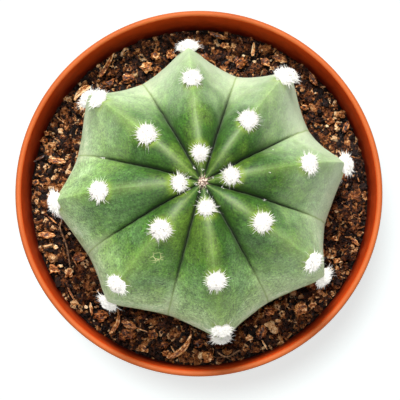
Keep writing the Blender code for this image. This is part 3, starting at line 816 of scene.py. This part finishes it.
def strip_of_bark(rng, length, width, thickness, bend):
    """A split strip: fibres along it, a trough across it, frayed ends, and thinner towards +X."""
    bm = bmesh.new()
    bmesh.ops.create_cube(bm, size=1)
    for axis, cuts in ((0, 22), (1, 7), (2, 1)):
        edges = [e for e in bm.edges if abs(e.verts[0].co[axis] - e.verts[1].co[axis]) > 0.9]
        bmesh.ops.subdivide_edges(bm, edges=edges, cuts=cuts, use_grid_fill=True)
    shift = rng.uniform(0, 50)
    for v in bm.verts:
        x, y, z = 2 * v.co
        taper = (1 - 0.5 * abs(x) ** 2.5) * (1 - 0.25 * x)
        ridge = noise((x * length / (6 * MM), y * 5, shift))
        fray = noise((shift, y * 4, z)) * 0.12 * abs(x) ** 3
        v.co.x = length / 2 * (x * (1 - 0.06 * y * y) + fray)
        v.co.y = width / 2 * taper * (y + 0.15 * noise((x * 3, shift, 0)))
        v.co.y += bend * MM / 2 * x * x
        v.co.z = thickness / 2 * taper * (z + 0.5 * ridge - 0.55 * (1 - y * y))
        v.co.z += 0.18 * thickness * noise((x * 2, shift, 5))
    return bm


def husk_of_bark(rng, length, width, thickness, bend):
    """A pointed scale: cross ridges over its back and a dark slit along its middle."""
    bm = bmesh.new()
    bmesh.ops.create_uvsphere(bm, u_segments=22, v_segments=26, radius=1,
                              matrix=Matrix.Rotation(pi / 2, 4, "Y"))
    shift = rng.uniform(0, 50)
    for v in bm.verts:
        x, y, z = v.co
        ridges = 0.1 * sin(x * 13 + 2 * noise((y * 2, shift, 0)))
        slit = 0.5 * exp(-(y / 0.16) ** 2) * max(z, 0) * (1 - x * x)
        lump = 1 + 0.2 * noise((x * 2, y * 2, shift)) + ridges * (1 - x * x)
        v.co.x = length / 2 * x * (1 + 0.1 * noise((y * 3, z * 3, shift)))
        v.co.y = width / 2 * y * lump * (1 - 0.25 * x * x) + bend * MM / 3 * x * x
        v.co.z = thickness / 2 * (z * lump - slit)
    return bm


def lump_of_bark(rng, length, width, thickness, bend):
    """A broken lump: stepped layers and knobs."""
    bm = bmesh.new()
    bmesh.ops.create_icosphere(bm, subdivisions=4, radius=1)
    shift = Vector((rng.uniform(0, 50), 0, 0))
    for v in bm.verts:
        knobs = noise(v.co * 1.6 + shift) * 0.42 + noise(v.co * 4 + shift) * 0.2
        crumbs = noise(v.co * 9 + shift) * 0.1
        v.co *= 0.95 + knobs + crumbs
        v.co.z = 0.65 * v.co.z + 0.35 * round(v.co.z * 3) / 3
        v.co = Vector((v.co.x * length, v.co.y * width, v.co.z * thickness)) / 2
    return bm


shapes = {"strip": strip_of_bark, "husk": husk_of_bark, "lump": lump_of_bark}
for i, (name, kind, length, width, thickness, turn, bend, tone) in enumerate(BARK_BITS):
    low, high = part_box(name)
    bit = shapes[kind](random.Random(i), length * MM, width * MM, thickness * MM, bend)
    mark_bark(bit, tone)
    bmesh.ops.rotate(bit, matrix=Matrix.Rotation(radians(turn), 3, "Z"), verts=bit.verts)
    bmesh.ops.translate(bit, vec=(low + high) / 2 - box_middle(bit), verts=bit.verts)
    piece = piece_from(bit, name.replace("bark_", "bit_"), bark_finish, smooth_deg=60)
    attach(piece, "root")
    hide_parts(name)


# ---- Root fibres: two old roots that lie loose on the soil, dry and tan. Each is dressed by the
# same root shrunk to a thread, with a few fine side roots.

ROOT_SHRINKAGE = 0.17 * MM
SIDE_ROOTS = 6
SIDE_ROOT_RADIUS = 0.1 * MM

# Dry root: matt, streaked tan and brown.
root_finish = flecked_finish("dry_root", 0.7, 4, ((0.3, "4A3020"), (0.5, "8A6442"), (0.7, "C29C72")),
                             bump=(0.4, 0.1), Roughness=0.75)
rng = random.Random(5)
for name in ("root_fibre_west", "root_fibre_south"):
    thread = bmesh.new()
    thread.from_mesh(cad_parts[name].data)
    thread.normal_update()
    forks = rng.sample([v.co.copy() for v in thread.verts], SIDE_ROOTS)
    for v in thread.verts:
        v.co -= ROOT_SHRINKAGE * v.normal
    for fork in forks:
        add_hair(thread, fork, tilted(rng, 80, 92), rng.uniform(1, 2.6) * MM, SIDE_ROOT_RADIUS)
    root = piece_from(thread, name + "_thread", root_finish)
    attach(root, "root")
    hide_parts(name)


# ---- Loose grains: composted bark, sieved to a few millimetres. Each grain settles on the ones
# below it, clear of the stem and the wall, and a few thin rootlets lie among them.

# Tones and sizes are bands: from, to, share of the grains. The deep fines are toned nearly black,
# as painted shade in the gaps between the grains above them.
TONES = ((0, 0.18, 0.3), (0.18, 0.4, 0.3), (0.4, 0.65, 0.28), (0.65, 0.95, 0.12))
GAP_SHADE_TONES = ((0, 0.1, 1),)
CRUMB_TONES = ((0, 0.15, 0.42), (0.3, 0.5, 0.26), (0.5, 0.75, 0.22), (0.75, 1, 0.1))
LAYERS = (  # name, shape, count, height to length, tilt in degrees, tones, lengths in mm
    ("bark_fines", "crumb", 2400, 0.6, 40, GAP_SHADE_TONES, ((0.8, 1.6, 1),)),
    ("bark_lumps", "knob", 50, 0.6, 15, TONES, ((3, 4.4, 1),)),
    ("bark_granules", "granule", 1850, 0.68, 30, TONES,
     ((1.1, 1.9, 0.6), (1.9, 2.8, 0.32), (2.8, 3.6, 0.08))),
    ("bark_flakes", "flake", 760, 0.25, 32, TONES, ((1.3, 2.4, 0.6), (2.4, 4, 0.4))),
    ("bark_crumbs", "crumb", 3600, 0.6, 40, CRUMB_TONES, ((0.5, 1.2, 1),)),
    ("bark_splinters", "splinter", 1000, 0.12, 14, TONES, ((1.2, 2.6, 0.7), (2.6, 4.5, 0.3))),
    ("bark_rootlets", "rootlet", 45, 0.08, 5, TONES, ((5, 8, 0.6), (8, 11, 0.4))),
)
ROUNDED = {  # width and height to length, then (depth, frequency) of the knobs
    "crumb": ((0.6, 0.95), (0.5, 0.8), ((0.9, 3),)),
    "granule": ((0.65, 0.95), (0.5, 0.75), ((0.75, 3.4),)),
    "knob": ((0.6, 0.9), (0.5, 0.7), ((0.6, 3), (0.35, 8))),
    "flake": ((0.45, 0.8), (0.16, 0.3), ((0.5, 3),)),
}
SLENDER = {"splinter": (0.08, 2, 0), "rootlet": (0.024, 9, 0.16)}  # radius, joints, wander
GRAIN_SHAPES = 9  # different grains in a layer
BED_CELL = 0.5 * MM
SOIL_INNER = 32 * MM  # no grain lies nearer to the pot's axis
STEM_CLEARANCE = 0.3 * MM
WALL_CLEARANCE = 0.1 * MM
BIT_MARGIN = 0.3 * MM  # kept free of grains round the large bits
LOOK_AGAIN = 0.4  # chance that a grain rolls on to look for a lower place
# In lengths of a grain: its reach to the wall and to the stem, and the radius of its seat.
REACH_OUT, REACH_IN, SEAT = 0.42, 0.3, 0.32
PILE_UP = 1.7  # half heights that a grain adds to the heap


def pick(rng, bands):
    """A random value from (low, high, share) bands."""
    chance = rng.random()
    for low, high, share in bands:
        chance -= share
        if chance <= 0:
            break
    return rng.uniform(low, high)


def knobbly(bm, rng, amount, frequency):
    """Pushes a unit lump in and out."""
    shift = Vector((rng.uniform(0, 50), 0, 0))
    for v in bm.verts:
        v.co *= 1 + amount * noise(v.co * frequency + shift)


def slender_grain(shape, rng):
    """A bent splinter or rootlet, 1 long."""
    thickness, joints, wander = SLENDER[shape]
    bm = bmesh.new()
    bmesh.ops.create_cone(bm, cap_ends=True, segments=5, radius1=thickness, radius2=0.4 * thickness,
                          depth=1, matrix=Matrix.Rotation(pi / 2, 4, "Y"))
    long_edges = [e for e in bm.edges if abs(e.verts[0].co.x - e.verts[1].co.x) > 0.5]
    bmesh.ops.subdivide_edges(bm, edges=long_edges, cuts=joints)
    bend, shift = rng.uniform(-0.6, 0.6), rng.uniform(0, 50)
    for v in bm.verts:
        x = v.co.x
        v.co.y += bend * x ** 2 + wander * noise((4 * x, shift, 0))
        v.co.z += 0.4 * wander * noise((5 * x, 0, shift))
    return bm


def rounded_grain(shape, rng):
    """A crumb, granule, knob or pointed flake, about 1 long."""
    width, height, knobs = ROUNDED[shape]
    bm = bmesh.new()
    if shape == "flake":
        bmesh.ops.create_cube(bm, size=1)
        bmesh.ops.subdivide_edges(bm, edges=bm.edges, cuts=2, use_grid_fill=True)
    elif shape == "knob":
        bmesh.ops.create_icosphere(bm, subdivisions=3, radius=0.5)
    else:
        segments, rings = (6, 5) if shape == "crumb" else (8, 6)
        bmesh.ops.create_uvsphere(bm, u_segments=segments, v_segments=rings, radius=0.5)
    bmesh.ops.scale(bm, vec=(1, rng.uniform(*width), rng.uniform(*height)), verts=bm.verts)
    if shape == "flake":
        skew = rng.uniform(-0.4, 0.4)
        for v in bm.verts:
            v.co.x += skew * v.co.y
            v.co.y *= 1 - 0.9 * v.co.x ** 2
            v.co.z += 0.25 * v.co.x * v.co.y
    for depth, frequency in knobs:
        knobbly(bm, rng, depth, frequency)
    return bm


def room_beside_stem(x, y):
    """Distance outward from the stem's skin to a place on the soil."""
    local = stem_place.inverted() @ Vector((x, y, SOIL_TOP))
    turn = atan2(local.y, local.x) % tau
    return local.length - stem_point(turn - star_shift(turn), local.angle(Vector((0, 0, 1)))).length


heap = {}  # height of the heap, by grid cell
covered = set()  # cells under the large bits


def cells_within(x, y, radius):
    """The grid cells under a disc."""
    reach = int(radius / BED_CELL) + 1
    column, row = round(x / BED_CELL), round(y / BED_CELL)
    return [(column + i, row + j) for i in range(-reach, reach + 1) for j in range(-reach, reach + 1)
            if hypot(i, j) * BED_CELL <= max(radius, 0.6 * BED_CELL)]


def heap_height(cell):
    """The heap's height at a cell, which is the soil bed's where nothing lies yet."""
    if cell not in heap:
        heap[cell] = soil_height(cell[0] * BED_CELL, cell[1] * BED_CELL) - BED_DROP
    return heap[cell]


def settle(rng, length):
    """A low open place on the heap for a grain: its x, y, the height there and its cells."""
    best = None
    while best is None or rng.random() < LOOK_AGAIN:
        turn = rng.uniform(0, tau)
        out = sqrt(rng.uniform(SOIL_INNER ** 2, pot_inner(SOIL_TOP) ** 2))
        x, y = out * cos(turn), out * sin(turn)
        if out + REACH_OUT * length > pot_inner(SOIL_TOP) - WALL_CLEARANCE:
            continue
        cells = cells_within(x, y, SEAT * length)
        inward = STEM_CLEARANCE + REACH_IN * length
        if covered.intersection(cells) or room_beside_stem(x, y) < inward:
            continue
        base = sum(heap_height(cell) for cell in cells) / len(cells)
        if best is None or base < best[2]:
            best = (x, y, base, cells)
    return best


def scatter(name, shape, count, flatness, tilt, tones, lengths):
    """One piece made of many loose grains, each settled on the heap."""
    rng = random.Random(name)
    templates = []
    for _ in range(GRAIN_SHAPES):
        bm = slender_grain(shape, rng) if shape in SLENDER else rounded_grain(shape, rng)
        mark_bark(bm, 0)
        templates.append(mesh_from(bm, "grain"))
    grains = bmesh.new()
    for _ in range(count):
        length = pick(rng, lengths) * MM
        x, y, base, cells = settle(rng, length)
        half_height = 0.4 * flatness * length
        grain = rng.choice(templates).copy()
        tone = pick(rng, tones)
        grain.attributes["tone"].data.foreach_set("value", [tone] * len(grain.vertices))
        lie = Matrix.Rotation(rng.uniform(0, tau), 4, "Z")
        for axis in "XY":
            lie @= Matrix.Rotation(radians(rng.gauss(0, tilt)), 4, axis)
        centre = (x, y, base + half_height)
        grain.transform(Matrix.Translation(centre) @ lie @ Matrix.Scale(length, 4))
        grains.from_mesh(grain)
        bpy.data.meshes.remove(grain)
        for cell in cells:
            heap[cell] = base + PILE_UP * half_height
    for template in templates:
        bpy.data.meshes.remove(template)
    piece = piece_from(grains, name, bark_finish, smooth_deg=35)
    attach(piece, "root")


scatter(*LAYERS[0])
for name in [bit[0] for bit in BARK_BITS] + ["root_fibre_west", "root_fibre_south"]:
    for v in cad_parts[name].data.vertices:
        covered.update(cells_within(v.co.x, v.co.y, BIT_MARGIN))


# ---- Chosen bits: smaller bark and grit that catch the eye, each laid where it is wanted on the
# soil before the loose grains are poured round it.

CHOSEN_MARGIN = 0.2 * MM  # kept free of grains round each
CHOSEN = (  # kind, then x, y, length and width in mm, turn in degrees, tone
    ("lump", (
        (-15.5, 38, 3.1, 2.8, 20, 0.72), (-13, 41.5, 2.4, 2.2, 0, 0.65),
        (-8.5, 42, 2.8, 2.2, 60, 0.6), (-21, 34.5, 3.2, 2.6, 0, 0.45), (-26.5, 33, 3, 2.2, 40, 0.42),
        (7.5, 44.5, 2.4, 1.7, 0, 0.7), (1.5, 41, 2.3, 2, 0, 0.5), (12, 39.5, 3.5, 3, 30, 0.5),
        (38.5, 22, 2.3, 2, 0, 0.55), (31, 26, 1.8, 1.6, 0, 0.6), (-45.5, 16.5, 2.3, 2, 0, 0.55),
        (-45, 18.5, 1.5, 1.3, 0, 0.6), (-48, 4, 1.8, 1.5, 0, 0.55),
        (-42.5, -21.5, 2.4, 2.2, 0, 0.62), (-38, -22.5, 2.4, 2.2, 50, 0.8),
        (-28.5, -35, 3.5, 3, 0, 0.5), (-13.5, -40.5, 2.8, 2.5, 0, 0.5),
        (-10, -43.5, 2.3, 2, 0, 0.48), (-9.5, -46, 2.3, 1.8, 0, 0.66), (0, -43, 2.8, 2.5, 0, 0.4),
        (2.5, -47, 3.2, 3, 0, 0.68), (20.5, -33.5, 3.2, 2.6, 0, 0.55),
        (14.5, -41.5, 1.8, 1.5, 0, 0.85), (33, -32, 1.8, 1.6, 0, 0.75),
        (39.5, -12.5, 2, 1.2, 0, 0.7), (40.3, -19, 2.3, 1.5, 0, 0.75))),
    ("husk", (
        (19.5, 39.5, 2.9, 2, -35, 0.62), (-20.5, -37.5, 4.4, 2.4, -25, 0.66),
        (-16, -44.5, 3.2, 2.3, -40, 0.68))),
    ("strip", (
        (5.5, 47.3, 5.2, 1.4, -22, 0.62), (-47, 11, 3.5, 0.9, 30, 0.3),
        (-31.5, -33, 3.2, 0.9, 100, 0.75), (-37.5, -28.5, 3.5, 0.6, -60, 0.6),
        (-40.5, -20.5, 1.5, 0.9, 0, 0.85), (45.5, -13.5, 2.6, 1.2, -45, 0.6),
        (19, -43.5, 3, 0.5, -60, 0.9), (-17, -39, 4, 0.4, -20, 0.9), (-7.5, -45, 2.4, 0.4, -60, 0.9),
        (-43, -7, 3.2, 0.4, 140, 0.7), (-36.5, -19, 3.4, 0.4, -60, 0.7))),
    ("lump", (
        (-22, 35.5, 0.9, 0.8, 0, 1.15), (13, 41.5, 0.8, 0.7, 0, 1.15),
        (37.5, 20.5, 0.9, 0.7, 0, 1.15), (-42, -15, 1.3, 1.2, 0, 1),
        (-33, -32.5, 0.9, 0.8, 0, 1.15), (-38, -11, 0.8, 0.7, 0, 1.15))),
)

rng = random.Random(3)
laid = bmesh.new()
for kind, x, y, length, width, turn, tone in (
        (kind, *row) for kind, rows in CHOSEN for row in rows):
    thickness = 0.7 * width if kind == "lump" else 0.6 * min(width, 1.5)
    bit = bmesh.new()
    if kind == "lump":
        bmesh.ops.create_icosphere(bit, subdivisions=3, radius=0.5)
        knobbly(bit, rng, 0.7, 3)
        knobbly(bit, rng, 0.4, 8)
    else:
        bmesh.ops.create_uvsphere(bit, u_segments=12, v_segments=14, radius=0.5,
                                  matrix=Matrix.Rotation(pi / 2, 4, "Y"))
        knobbly(bit, rng, 0.5, 3 if kind == "husk" else 5)
    bmesh.ops.scale(bit, vec=Vector((length, width, thickness)) * MM, verts=bit.verts)
    mark_bark(bit, tone)
    top = soil_height(x * MM, y * MM) + (0.3 * thickness - 0.2) * MM
    lie = Matrix.Translation((x * MM, y * MM, top)) @ Matrix.Rotation(radians(turn), 4, "Z")
    bmesh.ops.transform(bit, matrix=lie, verts=bit.verts)
    for v in bit.verts:
        covered.update(cells_within(v.co.x, v.co.y, CHOSEN_MARGIN))
    loose = mesh_from(bit, "loose_bit")
    laid.from_mesh(loose)
    bpy.data.meshes.remove(loose)
chosen_bits = piece_from(laid, "chosen_bits", bark_finish, smooth_deg=40)
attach(chosen_bits, "root")

for layer in LAYERS[1:]:
    scatter(*layer)
